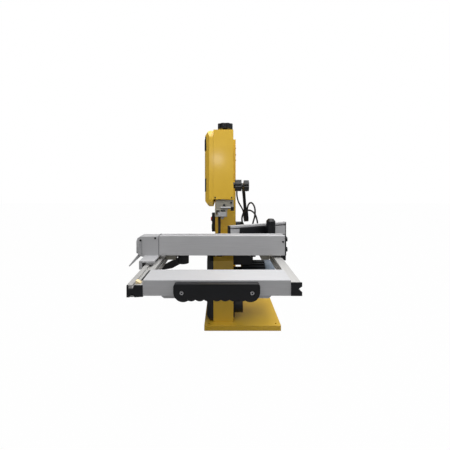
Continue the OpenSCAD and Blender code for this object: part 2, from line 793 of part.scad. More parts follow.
// Round handle that clamps the head
module mitre_knob() color(black) on_head() translate([52, 6, 0]) {
    translate([0, 0, top_z + gap + 8 + gap]) cylinder(h = 20, r = 8);
    translate([0, 0, 362]) cylinder(h = 60, r = 18.5);
    translate([0, 0, 422]) cylinder(h = 9, r1 = 18.5, r2 = 11);
}

// ---------- blade guide ----------

module guide_post() color(steel)
    box([post_x - post_w / 2, post_y - post_w / 2, 470], [post_x + post_w / 2, post_y + post_w / 2, 690]);

// Cast bracket at the post's foot, with a plate that closes the gap under the housing
module guide_bracket() color(cast) difference() {
    union() {
        box([138.5, -109, 440], [165, -60, 470]);
        box([159.5, -105, 469], [162.5, -60, 508]);
        box([159.5, -61, 480], [162.5, -34, 508]);
        box([112, -82, 456], [140, -62, 484]);
        ycyl(124, -62, -56, 471, 9);
    }
    box([post_x - 7, -104, 448], [166, -90, 466]);
    box([130, -110, 438], [143.5, -89.5, 450]);
}

module guide_bearings() color(steel) {
    for (x = [blade_x - 8.6, blade_x + 1.2]) ycyl(x + 3.5, -96, -90, 446, 3.3);
    xcyl(blade_x - 6, blade_x + 6, -79.5, 432, 5.5);
    box([blade_x - 3, -80, 434], [blade_x + 3, -70, 440]);
    box([blade_x - 3, -74, 439], [blade_x + 3, -70, 456]);
}

module guide_screws() color(black) {
    ycyl(124, -56, -44, 471, 4);
    ycyl(124, -44, -31, 471, 11);
}

module guide_lock_knob() color(black) {
    ycyl(post_x, -67.5, -34, knob_z, 5);
    ycyl(post_x, box_y1 + gap, -26, knob_z, 12);
    translate([post_x, -28, knob_z]) rotate([-90, 0, 0]) lobed_knob(24, 26, 8);
}

// ---------- one node at a time ----------

base_plate();
frame_spine();
upper_wheel_housing();
lower_wheel_housing();
frame_fasteners();
upper_door();
lower_door();
upper_door_latch();
lower_door_latch();
upper_wheel();
upper_tyre();
lower_wheel();
lower_tyre();
motor_pulley();
drive_belt();
lower_fittings();
tension_block();
tension_knob();
tracking_knob();
blade();
motor_body();
motor_end_cover();
terminal_box();
dust_port();
switch_housing();
green_button();
red_button();
trunnion_base();
trunnion_segment();
tilt_knob();
cord_hooks();
power_cord();
cord_hank();
plug();
strain_relief();
table_top();
table_insert();
carriers();
extension_lever();
front_rail();
rear_rail();
rail_caps();
end_bar();
extension_handle();
handle_screws();
pointer_piece();
fence_bar();
fence_head();
fence_lever();
fence_caps();
fence_pin();
mitre_bar();
mitre_head();
mitre_fence();
mitre_knob();
guide_post();
guide_bracket();
guide_bearings();
guide_screws();
guide_lock_knob();
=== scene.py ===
"""Benchtop band saw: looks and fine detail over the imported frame."""
import json
import math

import bmesh
import bpy
from mathutils import Matrix, Vector


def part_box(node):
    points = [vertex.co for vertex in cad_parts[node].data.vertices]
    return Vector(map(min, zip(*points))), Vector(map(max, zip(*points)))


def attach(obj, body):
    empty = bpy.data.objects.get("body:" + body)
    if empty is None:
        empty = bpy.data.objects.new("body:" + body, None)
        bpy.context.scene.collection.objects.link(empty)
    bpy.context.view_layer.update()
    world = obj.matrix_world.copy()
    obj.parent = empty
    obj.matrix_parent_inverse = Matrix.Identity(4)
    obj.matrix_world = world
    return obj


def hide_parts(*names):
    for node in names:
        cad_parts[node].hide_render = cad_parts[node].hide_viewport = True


bl_info = {
    "name": "Benchtop Band Saw",
    "version": (1, 0, 0),
    "blender": (4, 5, 0),
    "location": "View3D > Sidebar > Band Saw",
    "description": "Builds the finish and the fine detail of a benchtop band saw",
    "category": "Object",
}

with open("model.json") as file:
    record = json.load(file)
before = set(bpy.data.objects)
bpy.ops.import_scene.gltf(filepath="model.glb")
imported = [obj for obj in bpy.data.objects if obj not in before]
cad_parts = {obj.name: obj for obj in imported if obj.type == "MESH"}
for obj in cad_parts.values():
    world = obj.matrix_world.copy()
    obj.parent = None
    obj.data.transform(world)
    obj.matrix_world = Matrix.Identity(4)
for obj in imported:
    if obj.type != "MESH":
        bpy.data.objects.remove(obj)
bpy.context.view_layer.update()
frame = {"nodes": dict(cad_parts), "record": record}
NODES = frame["nodes"]
MM = 0.001


# ---------- materials ----------


def linear(hex_colour):
    """sRGB hex to a linear RGBA colour."""
    parts = [int(hex_colour[i : i + 2], 16) / 255 for i in (1, 3, 5)]
    return tuple(
        c / 12.92 if c <= 0.04045 else ((c + 0.055) / 1.055) ** 2.4 for c in parts
    ) + (1.0,)


def add(tree, kind, links=(), **settings):
    """Add a node, set its inputs and properties, and link its inputs."""
    node = tree.nodes.new(kind)
    for key, value in settings.items():
        if hasattr(node, key):
            setattr(node, key, value)
        else:
            node.inputs[key.replace("_", " ")].default_value = value
    for source, socket in links:
        tree.links.new(source, node.inputs[socket])
    return node


def start(name, colour, rough, metal=0.0, coat=0.0, coat_rough=0.05, ior=1.5):
    """A new material and its shader, with even values on the shader's own sockets."""
    material = bpy.data.materials.new(name)
    material.use_nodes = True
    tree = material.node_tree
    shader = tree.nodes["Principled BSDF"]
    shader.inputs["Base Color"].default_value = linear(colour)
    shader.inputs["Roughness"].default_value = rough
    shader.inputs["Metallic"].default_value = metal
    shader.inputs["Coat Weight"].default_value = coat
    shader.inputs["Coat Roughness"].default_value = coat_rough
    if not metal:
        shader.inputs["IOR"].default_value = ior
    return material, tree, shader


def pattern(tree, size_mm, stretch=(1, 1, 1), detail=3.0):
    """Noise whose grain is size_mm across, drawn out along an axis by stretch."""
    place = add(tree, "ShaderNodeTexCoord")
    mapping = add(
        tree, "ShaderNodeMapping", [(place.outputs["Object"], "Vector")], Scale=stretch
    )
    return add(
        tree,
        "ShaderNodeTexNoise",
        [(mapping.outputs["Vector"], "Vector")],
        Scale=1000.0 / size_mm,
        Detail=detail,
    )


def ramp(tree, source, stops):
    """Colour ramp from (position, hex) stops."""
    node = add(tree, "ShaderNodeValToRGB", [(source, "Fac")])
    node.color_ramp.elements[0].position = stops[0][0]
    node.color_ramp.elements[0].color = linear(stops[0][1])
    node.color_ramp.elements[1].position = stops[-1][0]
    node.color_ramp.elements[1].color = linear(stops[-1][1])
    for position, colour in stops[1:-1]:
        node.color_ramp.elements.new(position).color = linear(colour)
    return node


def spread(tree, source, low, high):
    """Map a 0 to 1 value to a range."""
    return add(
        tree,
        "ShaderNodeMapRange",
        [(source, "Value")],
        To_Min=low,
        To_Max=high,
    )


def bump(tree, shader, source, height_mm, strength=0.5):
    """Fine relief from a value."""
    node = add(
        tree,
        "ShaderNodeBump",
        [(source, "Height")],
        Strength=strength,
        Distance=height_mm * MM,
    )
    tree.links.new(node.outputs["Normal"], shader.inputs["Normal"])


def enamel(name, colour, shade, rough=0.34):
    """Baked enamel sprayed on steel: a clear gloss with slight orange peel."""
    material, tree, shader = start(name, colour, rough, coat=0.3, coat_rough=0.12)
    cloud = pattern(tree, 60.0)
    tone = ramp(tree, cloud.outputs["Fac"], [(0.3, shade), (0.7, colour)])
    tree.links.new(tone.outputs["Color"], shader.inputs["Base Color"])
    peel = pattern(tree, 2.4, detail=1.0)
    bump(tree, shader, peel.outputs["Fac"], 0.05, 0.25)
    return material


def moulded(name, colour, shade, rough=0.5, grain_mm=0.9):
    """Injection-moulded ABS: a fine spark-eroded grain and a soft sheen."""
    material, tree, shader = start(name, colour, rough, ior=1.47)
    grain = pattern(tree, grain_mm, detail=2.0)
    cloud = pattern(tree, 40.0)
    tone = ramp(tree, cloud.outputs["Fac"], [(0.35, shade), (0.65, colour)])
    tree.links.new(tone.outputs["Color"], shader.inputs["Base Color"])
    level = spread(tree, grain.outputs["Fac"], rough - 0.08, rough + 0.08)
    tree.links.new(level.outputs["Result"], shader.inputs["Roughness"])
    bump(tree, shader, grain.outputs["Fac"], 0.06, 0.35)
    return material


def drawn_metal(name, colour, shade, stretch, rough=0.38, grain_mm=1.2, metal=1.0):
    """Extruded, brushed or ground metal: lines along one axis, coarser than real to show."""
    material, tree, shader = start(name, colour, rough, metal=metal)
    lines = pattern(tree, grain_mm, stretch, detail=4.0)
    tone = ramp(tree, lines.outputs["Fac"], [(0.3, shade), (0.7, colour)])
    tree.links.new(tone.outputs["Color"], shader.inputs["Base Color"])
    level = spread(tree, lines.outputs["Fac"], rough - 0.07, rough + 0.09)
    tree.links.new(level.outputs["Result"], shader.inputs["Roughness"])
    bump(tree, shader, lines.outputs["Fac"], 0.03, 0.3)
    return material


def cast_metal(name, colour, shade, rough=0.55, metal=0.85, grain_mm=1.6):
    """Sand or die casting: small pits and an even dull grey skin."""
    material, tree, shader = start(name, colour, rough, metal=metal)
    pits = pattern(tree, grain_mm, detail=5.0)
    tone = ramp(tree, pits.outputs["Fac"], [(0.25, shade), (0.75, colour)])
    tree.links.new(tone.outputs["Color"], shader.inputs["Base Color"])
    bump(tree, shader, pits.outputs["Fac"], 0.15, 0.45)
    return material


def build_materials():
    """Every finish on the saw, by name."""
    return {
        "enamel_yellow": enamel("baked enamel, sprayed yellow", "#DFB63A", "#D9AF33"),
        "enamel_black": enamel("baked enamel, sprayed black", "#101319", "#0C0E14", 0.42),
        "abs_black": moulded("abs, moulded black", "#101218", "#0B0D12"),
        "knob_black": moulded("phenolic, moulded black", "#0B0D13", "#07080C", 0.42, 0.7),
        "abs_grey": moulded("abs, moulded grey", "#3B3D42", "#33353A"),
        "button_red": moulded("abs, moulded red", "#C4161C", "#B01016", 0.3, 0.7),
        "button_green": moulded("abs, moulded green", "#0E8A3B", "#0A7A32", 0.3, 0.7),
        "marker_cream": moulded("abs, moulded cream", "#D9C9A0", "#CDBB90", 0.45, 0.7),
        "anodised_y": drawn_metal(
            "anodised aluminium, extruded along y",
            "#BDBDBF", "#B3B3B5", (1, 0.02, 1), 0.55, 1.2, 0.3,
        ),
        "anodised_x": drawn_metal(
            "anodised aluminium, extruded along x",
            "#BAB9B7", "#AEADAB", (0.02, 1, 1), 0.5, 1.2, 0.4,
        ),
        "ground_top": drawn_metal(
            "aluminium, ground flat", "#BABAB9", "#B0B0AF", (1, 0.03, 1), 0.45, 0.8, 0.4
        ),
        "cast_grey": cast_metal("zinc, die cast grey", "#A8A497", "#98948A", 0.6, 0.4),
        "light_alloy": cast_metal(
            "aluminium, die cast and blasted", "#B6B6B8", "#ABABAD", 0.55, 0.3
        ),
        "cast_wheel": cast_metal("aluminium, sand cast", "#A2A4A6", "#8D8F92", 0.5),
        "steel_bright": drawn_metal(
            "steel, zinc plated", "#B8BABD", "#A4A6AA", (1, 1, 0.1), 0.3, 0.8
        ),
        "blade_steel": drawn_metal(
            "spring steel, rolled band", "#3C3E42", "#2E3034", (1, 1, 0.03), 0.45, 0.8, 0.6
        ),
        "rubber": moulded("rubber, moulded", "#1C1C1C", "#141414", 0.75, 1.2),
        "cord_pvc": moulded("pvc, extruded black", "#161618", "#101012", 0.42, 1.4),
        "motor_grey": cast_metal(
            "aluminium, die cast, painted grey", "#3A3E44", "#2F3338", 0.5, 0.2
        ),
        "motor_cap": moulded("sheet steel, painted grey blue", "#6E7C8C", "#64717F", 0.45, 1.2),
    }


NODE_FINISH = {
    "enamel_yellow": "base_plate frame_spine upper_wheel_housing lower_wheel_housing upper_door",
    "enamel_black": "lower_door",
    "abs_black": "switch_housing terminal_box dust_port table_insert rail_caps fence_caps",
    "knob_black": "upper_door_latch lower_door_latch tension_knob tracking_knob tilt_knob "
    "cord_hooks extension_lever extension_handle mitre_head mitre_knob guide_screws "
    "guide_lock_knob",
    "button_red": "red_button",
    "button_green": "green_button",
    "marker_cream": "pointer_piece",
    "anodised_y": "fence_bar fence_lever end_bar mitre_fence",
    "anodised_x": "front_rail rear_rail",
    "ground_top": "table_top",
    "cast_grey": "tension_block trunnion_base trunnion_segment carriers guide_bracket",
    "light_alloy": "fence_head handle_screws",
    "cast_wheel": "upper_wheel lower_wheel motor_pulley",
    "steel_bright": "lower_fittings fence_pin guide_post guide_bearings mitre_bar",
    "blade_steel": "blade frame_fasteners",
    "rubber": "upper_tyre lower_tyre drive_belt",
    "cord_pvc": "plug strain_relief power_cord cord_hank",
    "motor_grey": "motor_body",
    "motor_cap": "motor_end_cover",
}
FINISH = {}
BODY = {
    node: body
    for body, members in frame["record"]["behaviour"]["bodies"].items()
    for node in members
}


# ---------- making pieces ----------


def link(obj):
    """Put an object into the scene."""
    bpy.context.scene.collection.objects.link(obj)
    return obj


def plain_mesh(obj):
    """Apply all modifiers of obj by swapping in its evaluated mesh."""
    bpy.context.view_layer.update()
    graph = bpy.context.evaluated_depsgraph_get()
    mesh = bpy.data.meshes.new_from_object(obj.evaluated_get(graph), depsgraph=graph)
    obj.modifiers.clear()
    obj.data = mesh
    return obj


def piece(name, bm, finish, body):
    """Turn a bmesh in metres into a finished piece that rides on a body."""
    mesh = bpy.data.meshes.new(name)
    bm.to_mesh(mesh)
    bm.free()
    obj = dress(link(bpy.data.objects.new(name, mesh)), finish, body)
    return obj


def flat_or_smooth(mesh, angle):
    """Smooth shading that breaks at edges sharper than an angle in degrees."""
    mesh.polygons.foreach_set("use_smooth", [True] * len(mesh.polygons))
    mesh.set_sharp_from_angle(angle=math.radians(angle))


def dress(obj, finish, body, smooth=35.0):
    """Shade, paint and mount a piece."""
    if smooth:
        flat_or_smooth(obj.data, smooth)
    obj.data.materials.clear()
    obj.data.materials.append(FINISH[finish])
    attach(obj, body)
    return obj


def softened(node, finish, width_mm):
    """Copy of a CAD node with merged faces and rounded edges, which stands for it."""
    mesh = NODES[node].data.copy()
    bm = bmesh.new()
    bm.from_mesh(mesh)
    bmesh.ops.remove_doubles(bm, verts=bm.verts, dist=2e-6)
    bmesh.ops.dissolve_limit(
        bm, angle_limit=math.radians(0.6), verts=bm.verts, edges=bm.edges
    )
    bm.to_mesh(mesh)
    bm.free()
    flat_or_smooth(mesh, 32.0)
    obj = link(bpy.data.objects.new(node + "_finished", mesh))
    edge = obj.modifiers.new("rounded edges", "BEVEL")
    edge.width = width_mm * MM
    edge.segments = 2
    edge.limit_method = "ANGLE"
    edge.angle_limit = math.radians(38)
    edge.use_clamp_overlap = True
    even = obj.modifiers.new("flat faces stay flat", "WEIGHTED_NORMAL")
    even.keep_sharp = True
    plain_mesh(obj)
    dress(obj, finish, BODY[node], None)
    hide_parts(node)
    return obj


def smooth_line(points, step):
    """Points about step metres apart along a Catmull-Rom curve through the given points."""
    pts = [Vector(p) for p in points]
    pts = [2 * pts[0] - pts[1]] + pts + [2 * pts[-1] - pts[-2]]
    fine = []
    for a, b, c, d in zip(pts, pts[1:], pts[2:], pts[3:]):
        for i in range(24):
            t = i / 24
            fine.append(
                0.5
                * (
                    2 * b
                    + (c - a) * t
                    + (2 * a - 5 * b + 4 * c - d) * t * t
                    + (3 * b - a - 3 * c + d) * t ** 3
                )
            )
    fine.append(pts[-2])
    out = [fine[0]]
    gone = 0.0
    for a, b in zip(fine, fine[1:]):
        gone += (b - a).length
        if gone >= step:
            out.append(b)
            gone = 0.0
    if (out[-1] - fine[-1]).length < step * 0.4:
        out.pop()
    out.append(fine[-1])
    return out


# ---------- geometry node trees ----------


def tree_of(name, inputs):
    """New geometry tree with named number inputs; returns the tree and its end nodes."""
    tree = bpy.data.node_groups.new(name, "GeometryNodeTree")
    tree.interface.new_socket("Geometry", in_out="INPUT", socket_type="NodeSocketGeometry")
    for key, (kind, value) in inputs.items():
        socket = tree.interface.new_socket(key, in_out="INPUT", socket_type=kind)
        if value is not None:
            socket.default_value = value
    tree.interface.new_socket("Geometry", in_out="OUTPUT", socket_type="NodeSocketGeometry")
    return tree, add(tree, "NodeGroupInput"), add(tree, "NodeGroupOutput")


def end_tree(tree, geometry, out, finish):
    """Realize the instances and set their material."""
    real = add(tree, "GeometryNodeRealizeInstances", [(geometry, 0)])
    painted = add(
        tree, "GeometryNodeSetMaterial", [(real.outputs[0], 0)], Material=FINISH[finish]
    )
    tree.links.new(painted.outputs[0], out.inputs[0])


def grow(obj, tree, finish, body, values):
    """Run a tree on obj, keep the result as a plain mesh and mount it."""
    modifier = obj.modifiers.new(tree.name, "NODES")
    modifier.node_group = tree
    for item in tree.interface.items_tree:
        if item.in_out == "INPUT" and item.name in values:
            modifier[item.identifier] = values[item.name]
    plain_mesh(obj)
    dress(obj, finish, body, 30.0)
    return obj


def row_on_path(name, points, unit, pitch, finish, body):
    """Copies of a small unit at an even pitch along a line of points, in metres."""
    curve = bpy.data.curves.new(name, "CURVE")
    curve.dimensions = "3D"
    spline = curve.splines.new("POLY")
    spline.points.add(len(points) - 1)
    for point, place in zip(spline.points, points):
        point.co = (*place, 1)
    source = link(bpy.data.objects.new(name + "_path", curve))
    holder = link(bpy.data.objects.new(name, bpy.data.meshes.new(name)))
    unit_obj = link(bpy.data.objects.new(name + "_unit", unit))
    tree, given, out = tree_of(
        name,
        {
            "Path": ("NodeSocketObject", None),
            "Unit": ("NodeSocketObject", None),
            "Pitch": ("NodeSocketFloat", pitch),
        },
    )
    path = add(tree, "GeometryNodeObjectInfo", [(given.outputs["Path"], "Object")])
    one = add(tree, "GeometryNodeObjectInfo", [(given.outputs["Unit"], "Object")])
    stops = add(
        tree,
        "GeometryNodeResampleCurve",
        [(path.outputs["Geometry"], "Curve"), (given.outputs["Pitch"], "Length")],
        mode="LENGTH",
    )
    copies = add(
        tree,
        "GeometryNodeInstanceOnPoints",
        [(stops.outputs[0], "Points"), (one.outputs["Geometry"], "Instance")],
    )
    end_tree(tree, copies.outputs[0], out, finish)
    grow(holder, tree, finish, body, {"Path": source, "Unit": unit_obj, "Pitch": pitch})
    bpy.data.objects.remove(source)
    bpy.data.objects.remove(unit_obj)
    return holder


# ---------- sizes and colours a user would change ----------


class SawCordSettings(bpy.types.PropertyGroup):
    """Sizes of the mains cord."""

    diameter: bpy.props.FloatProperty(
        name="Diameter", description="Outside diameter of the cord", default=0.008, unit="LENGTH"
    )
    turn_step: bpy.props.FloatProperty(
        name="Turn step",
        description="Distance between neighbouring turns of the hank",
        default=0.008,
        unit="LENGTH",
    )


class SawBladeSettings(bpy.types.PropertyGroup):
    """Sizes of the blade's teeth."""

    pitch: bpy.props.FloatProperty(
        name="Tooth pitch", description="Distance between teeth", default=0.00424, unit="LENGTH"
    )
    depth: bpy.props.FloatProperty(
        name="Tooth depth", description="Height of a tooth", default=0.0018, unit="LENGTH"
    )


class SawScaleSettings(bpy.types.PropertyGroup):
    """Sizes of the division marks on the front rail."""

    division: bpy.props.FloatProperty(
        name="Division", description="Distance between marks", default=0.005, unit="LENGTH"
    )
    mark: bpy.props.FloatProperty(
        name="Mark length", description="Length of a mark", default=0.006, unit="LENGTH"
    )


class SawStageSettings(bpy.types.PropertyGroup):
    """Where the camera stands and how far it looks down."""

    camera_place: bpy.props.FloatVectorProperty(
        name="Camera place",
        description="Where the camera stands",
        default=(1.330, -0.079, 0.588),
        subtype="TRANSLATION",
    )
    pitch: bpy.props.FloatProperty(
        name="Pitch", description="How far the camera looks down", default=0.0, subtype="ANGLE"
    )


# ---------- operators ----------

SENSOR_MM = 36
FIELD = 290 / 450  # distance to the picture plane over its width
HORIZON_UP = 0.1  # height of the eye line above the middle, over the picture's width
SHIFT_X = 0.0058
FLOOR_GLOW = 0.99  # share of the floor that is plain white to the camera
WORLD_LIGHT = 0.15
AIM = Vector((0.2, 0, 0.4))
LAMPS = (  # name, place in metres, side of the square in metres, power in watts
    ("key light", (0.92, -0.1, 2.05), 2.0, 48),
    ("side light", (0.2, 1.6, 2.2), 2.2, 26),
    ("top light", (-0.6, 0.3, 2.6), 1.2, 10),
    ("rear light", (-1.7, 0.6, 2.6), 1.4, 18),
    ("front lamp", (2.6, -0.14, 0.85), 0.12, 1.1),
)


class BANDSAW_OT_stage(bpy.types.Operator):
    """Set the camera, the floor and the soft lights"""

    bl_idname = "bandsaw.stage"
    bl_label = "Stage"

    def execute(self, context):
        settings = context.scene.saw_stage
        camera = link(bpy.data.objects.new("camera", bpy.data.cameras.new("camera")))
        camera.data.sensor_width = SENSOR_MM
        camera.data.lens = SENSOR_MM * FIELD
        camera.location = settings.camera_place
        camera.rotation_euler = (math.pi / 2 - settings.pitch, 0, math.pi / 2)
        camera.data.shift_y = FIELD * math.tan(settings.pitch) - HORIZON_UP
        camera.data.shift_x = SHIFT_X
        camera.data.clip_end = 50
        context.scene.camera = camera
        self.floor()
        self.sky()
        for name, place, size, power in LAMPS:
            lamp = bpy.data.lights.new(name, "AREA")
            lamp.energy = power
            lamp.size = size
            light = link(bpy.data.objects.new(name, lamp))
            light.location = place
            towards = AIM - Vector(place)
            light.rotation_euler = towards.to_track_quat("-Z", "Y").to_euler()
        return {"FINISHED"}

    def floor(self):
        """Plain floor that looks white to the camera and keeps the shadow."""
        bm = bmesh.new()
        bmesh.ops.create_grid(bm, x_segments=1, y_segments=1, size=6)
        mesh = bpy.data.meshes.new("floor")
        bm.to_mesh(mesh)
        bm.free()
        floor = link(bpy.data.objects.new("floor", mesh))
        mesh.materials.append(self.paper())

    def paper(self):
        """Matt paper: mostly plain white to the eye, with a little of the shadow."""
        material, tree, shader = start("paper, matt white", "#8E8E8E", 0.95)
        path = add(tree, "ShaderNodeLightPath")
        share = spread(tree, path.outputs["Is Camera Ray"], 0.0, FLOOR_GLOW)
        glow = add(tree, "ShaderNodeEmission", Strength=1.0)
        out = tree.nodes["Material Output"]
        mix = add(
            tree,
            "ShaderNodeMixShader",
            [(share.outputs[0], 0), (shader.outputs[0], 1), (glow.outputs[0], 2)],
        )
        tree.links.new(mix.outputs[0], out.inputs["Surface"])
        return material

    def sky(self):
        """Even soft light, seen as plain white."""
        world = bpy.data.worlds.new("studio")
        bpy.context.scene.world = world
        world.use_nodes = True
        tree = world.node_tree
        tree.nodes.clear()
        path = add(tree, "ShaderNodeLightPath")
        clear = add(
            tree,
            "ShaderNodeMath",
            [(path.outputs["Is Camera Ray"], 0), (path.outputs["Is Transmission Ray"], 1)],
            operation="ADD",
            use_clamp=True,
        )
        white = (1, 1, 1, 1)
        lit = add(tree, "ShaderNodeBackground", Strength=WORLD_LIGHT, Color=white)
        plain = add(tree, "ShaderNodeBackground", Strength=1.0, Color=white)
        mix = add(
            tree,
            "ShaderNodeMixShader",
            [(clear.outputs[0], 0), (lit.outputs[0], 1), (plain.outputs[0], 2)],
        )
        add(tree, "ShaderNodeOutputWorld", [(mix.outputs[0], "Surface")])


LEAD = [
    (-157, -5, 566), (-157, -5, 556), (-157, -5, 545.5), (-157, -5, 535.5), (-157, -5, 525),
    (-157, -5, 515), (-157, -4, 504.5), (-157.5, -2, 494.5), (-157.5, 0.5, 484.5),
    (-158, 4, 475), (-158.5, 8.5, 466), (-159.5, 13.5, 457), (-160, 19, 448),
    (-160.5, 23.5, 439), (-161, 27.5, 430), (-161, 30, 420),
]
TAIL = [
    (-113, 46.5, 411), (-113, 45.5, 424.5), (-115.5, 45, 437), (-114, 46, 450),
    (-109, 48.5, 462), (-100, 52.5, 471), (-89, 56.5, 476), (-76.5, 61.5, 477.5),
    (-65, 66.5, 474.5), (-54.5, 70.5, 467.5), (-46.5, 74, 457.5), (-42.5, 75.5, 445.5),
    (-42, 75.5, 432), (-43.5, 74.5, 419), (-46, 72.5, 406.5), (-49.5, 69, 394),
    (-53, 66.5, 382), (-58, 62.5, 370.5), (-65.5, 56.5, 361.5), (-75, 48.5, 356.5),
    (-85, 40, 356), (-94.5, 32, 360), (-102.5, 25, 368), (-107.5, 20, 379.5),
    (-109.5, 18, 392), (-108, 19, 405), (-105.5, 22, 417.5), (-101, 28, 428.5),
    (-95, 37, 436.5), (-88, 47.5, 440), (-81, 58.5, 439.5), (-74.5, 68.5, 434),
    (-70, 77, 425), (-67, 82.5, 413.5), (-66, 86, 401), (-64.5, 89, 388), (-65, 89.5, 375),
    (-66, 88, 362), (-67, 85, 349.5), (-68, 81, 337), (-69, 75.5, 325), (-70, 70, 313),
    (-71, 65, 301), (-71, 62, 288), (-71, 60.5, 275), (-71, 60.5, 262),
]
HANK = Vector((-137, 27, 545))  # centre of the upper fold, in mm
HANK_LEAN = math.radians(5)
HANK_RUN, HANK_R = 140, 24  # straight part and fold radius, in mm
HANK_START, HANK_PAST = 15, 5  # how far it starts above the lower fold and ends past it
HANK_FIRST_Y, HANK_POINTS = -8, 110


class BANDSAW_OT_cord(bpy.types.Operator):
    """Hang the wound mains cord on its peg and end it in the plug"""

    bl_idname = "bandsaw.cord"
    bl_label = "Mains cord"

    def hank(self, step_mm):
        """Just over two turns: down the left side, under, up the right side and over."""
        turn = 2 * HANK_RUN + 2 * math.pi * HANK_R
        half = math.pi * HANK_R
        first = HANK_RUN - HANK_START
        total = 2 * turn + half + HANK_START + HANK_PAST
        lean = Matrix.Rotation(HANK_LEAN, 3, "X")
        points = []
        for i in range(HANK_POINTS + 1):
            share = i / HANK_POINTS
            part = (first + total * share) % turn
            y = HANK_FIRST_Y + 2 * step_mm * share
            if part < HANK_RUN:
                x, z = -HANK_R, -part
            elif part < HANK_RUN + half:
                a = (part - HANK_RUN) / HANK_R
                x, z = -HANK_R * math.cos(a), -HANK_RUN - HANK_R * math.sin(a)
            elif part < 2 * HANK_RUN + half:
                x, z = HANK_R, part - 2 * HANK_RUN - half
            else:
                a = (part - 2 * HANK_RUN - half) / HANK_R
                x, z = HANK_R * math.cos(a), HANK_R * math.sin(a)
            points.append(HANK + lean @ Vector((x, y, z)))
        return points

    def execute(self, context):
        settings = context.scene.saw_cord
        route = LEAD[:-1] + self.hank(settings.turn_step / MM)[1:-1] + TAIL[1:]
        line = smooth_line([Vector(p) * MM for p in route], 0.004)
        curve = bpy.data.curves.new("mains_cord", "CURVE")
        curve.dimensions = "3D"
        curve.bevel_depth = settings.diameter / 2
        curve.bevel_resolution = 3
        spline = curve.splines.new("POLY")
        spline.points.add(len(line) - 1)
        for point, place in zip(spline.points, line):
            point.co = (*place, 1)
        cord = link(bpy.data.objects.new("mains_cord", curve))
        curve.materials.append(FINISH["cord_pvc"])
        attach(cord, "frame")
        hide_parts("power_cord", "cord_hank")
        plug = softened("plug", "cord_pvc", 1.0)
        relief = softened("strain_relief", "cord_pvc", 1.0)
        return {"FINISHED"}


def finish_nodes(nodes, width_mm):
    """Softened copy of each node, in the finish that NODE_FINISH gives it."""
    for finish, names in NODE_FINISH.items():
        for node in names.split():
            if node in nodes:
                softened(node, finish, width_mm)


def slab(bm, low, high):
    """Box between two corners in mm."""
    low, high = Vector(low) * MM, Vector(high) * MM
    made = bmesh.ops.create_cube(bm, size=1.0)
    for vert in made["verts"]:
        vert.co = Vector(
            [low[i] + (vert.co[i] + 0.5) * (high[i] - low[i]) for i in range(3)]
        )
    return made["verts"]


def prism(bm, outline, x0, x1):
    """Flat outline of (y, z) points between two x places, all in metres."""
    ends = [[bm.verts.new((x, y, z)) for y, z in outline] for x in (x0, x1)]
    bm.faces.new(ends[0])
    bm.faces.new(reversed(ends[1]))
    for i in range(len(outline)):
        j = (i + 1) % len(outline)
        bm.faces.new((ends[0][i], ends[1][i], ends[1][j], ends[0][j]))
    bmesh.ops.recalc_face_normals(bm, faces=bm.faces)


def round_edges(bm, width_mm):
    """Bevel the sharp edges of flat-sided blocks."""
    bmesh.ops.bevel(
        bm,
        geom=[e for e in bm.edges if e.calc_face_angle(0) > 0.6],
        offset=width_mm * MM,
        segments=2,
        profile=0.6,
        affect="EDGES",
        clamp_overlap=True,
    )


def lathe(bm, profile, centre, axis, steps=48):
    """Turn (radius, height) points in mm about an axis through centre."""
    turn = Vector((0, 0, 1)).rotation_difference(Vector(axis)).to_matrix().to_4x4()
    place = Matrix.Translation(Vector(centre) * MM) @ turn
    rings = []
    for radius, height in profile:
        if radius == 0:
            rings.append([bm.verts.new(place @ Vector((0, 0, height * MM)))])
            continue
        ring = []
        for i in range(steps):
            a = 2 * math.pi * i / steps
            ring.append(
                bm.verts.new(
                    place @ (Vector((radius * math.cos(a), radius * math.sin(a), height)) * MM)
                )
            )
        rings.append(ring)
    for low, high in zip(rings, rings[1:]):
        for i in range(steps):
            j = (i + 1) % steps
            a, b = low[i % len(low)], low[j % len(low)]
            c, d = high[j % len(high)], high[i % len(high)]
            corners = []
            for v in (a, b, c, d):
                if v not in corners:
                    corners.append(v)
            bm.faces.new(corners)
    bmesh.ops.recalc_face_normals(bm, faces=bm.faces)


def pan_screw(bm, centre, axis, r=4.0):
    """Pan-head screw with a small recess in its crown."""
    outline = ((0, 0), (1, 0), (1, 0.35), (0.8, 0.62), (0.3, 0.7), (0.22, 0.4), (0, 0.4))
    lathe(bm, [(r * across, r * up) for across, up in outline], centre, axis, 20)


def hex_bolt(bm, centre, axis, r, height):
    """Hexagon bolt head with a chamfered top."""
    profile = [(0, 0), (r, 0), (r, height * 0.85), (r * 0.85, height), (0, height)]
    lathe(bm, profile, centre, axis, 6)


FLIP_Y = Matrix.Scale(-1, 4, (0, 1, 0))
BAND_MM = 0.7  # thickness of the blade
TEETH_TOP_FOOT = (0.62, 0.2)  # heights in metres between which the blade has teeth
DOOR_SLOPE = math.atan2(17, 22)  # turn of the upper door's sloping edge
MOTOR_AXIS = (75, 172)  # x and z of the motor shaft in mm


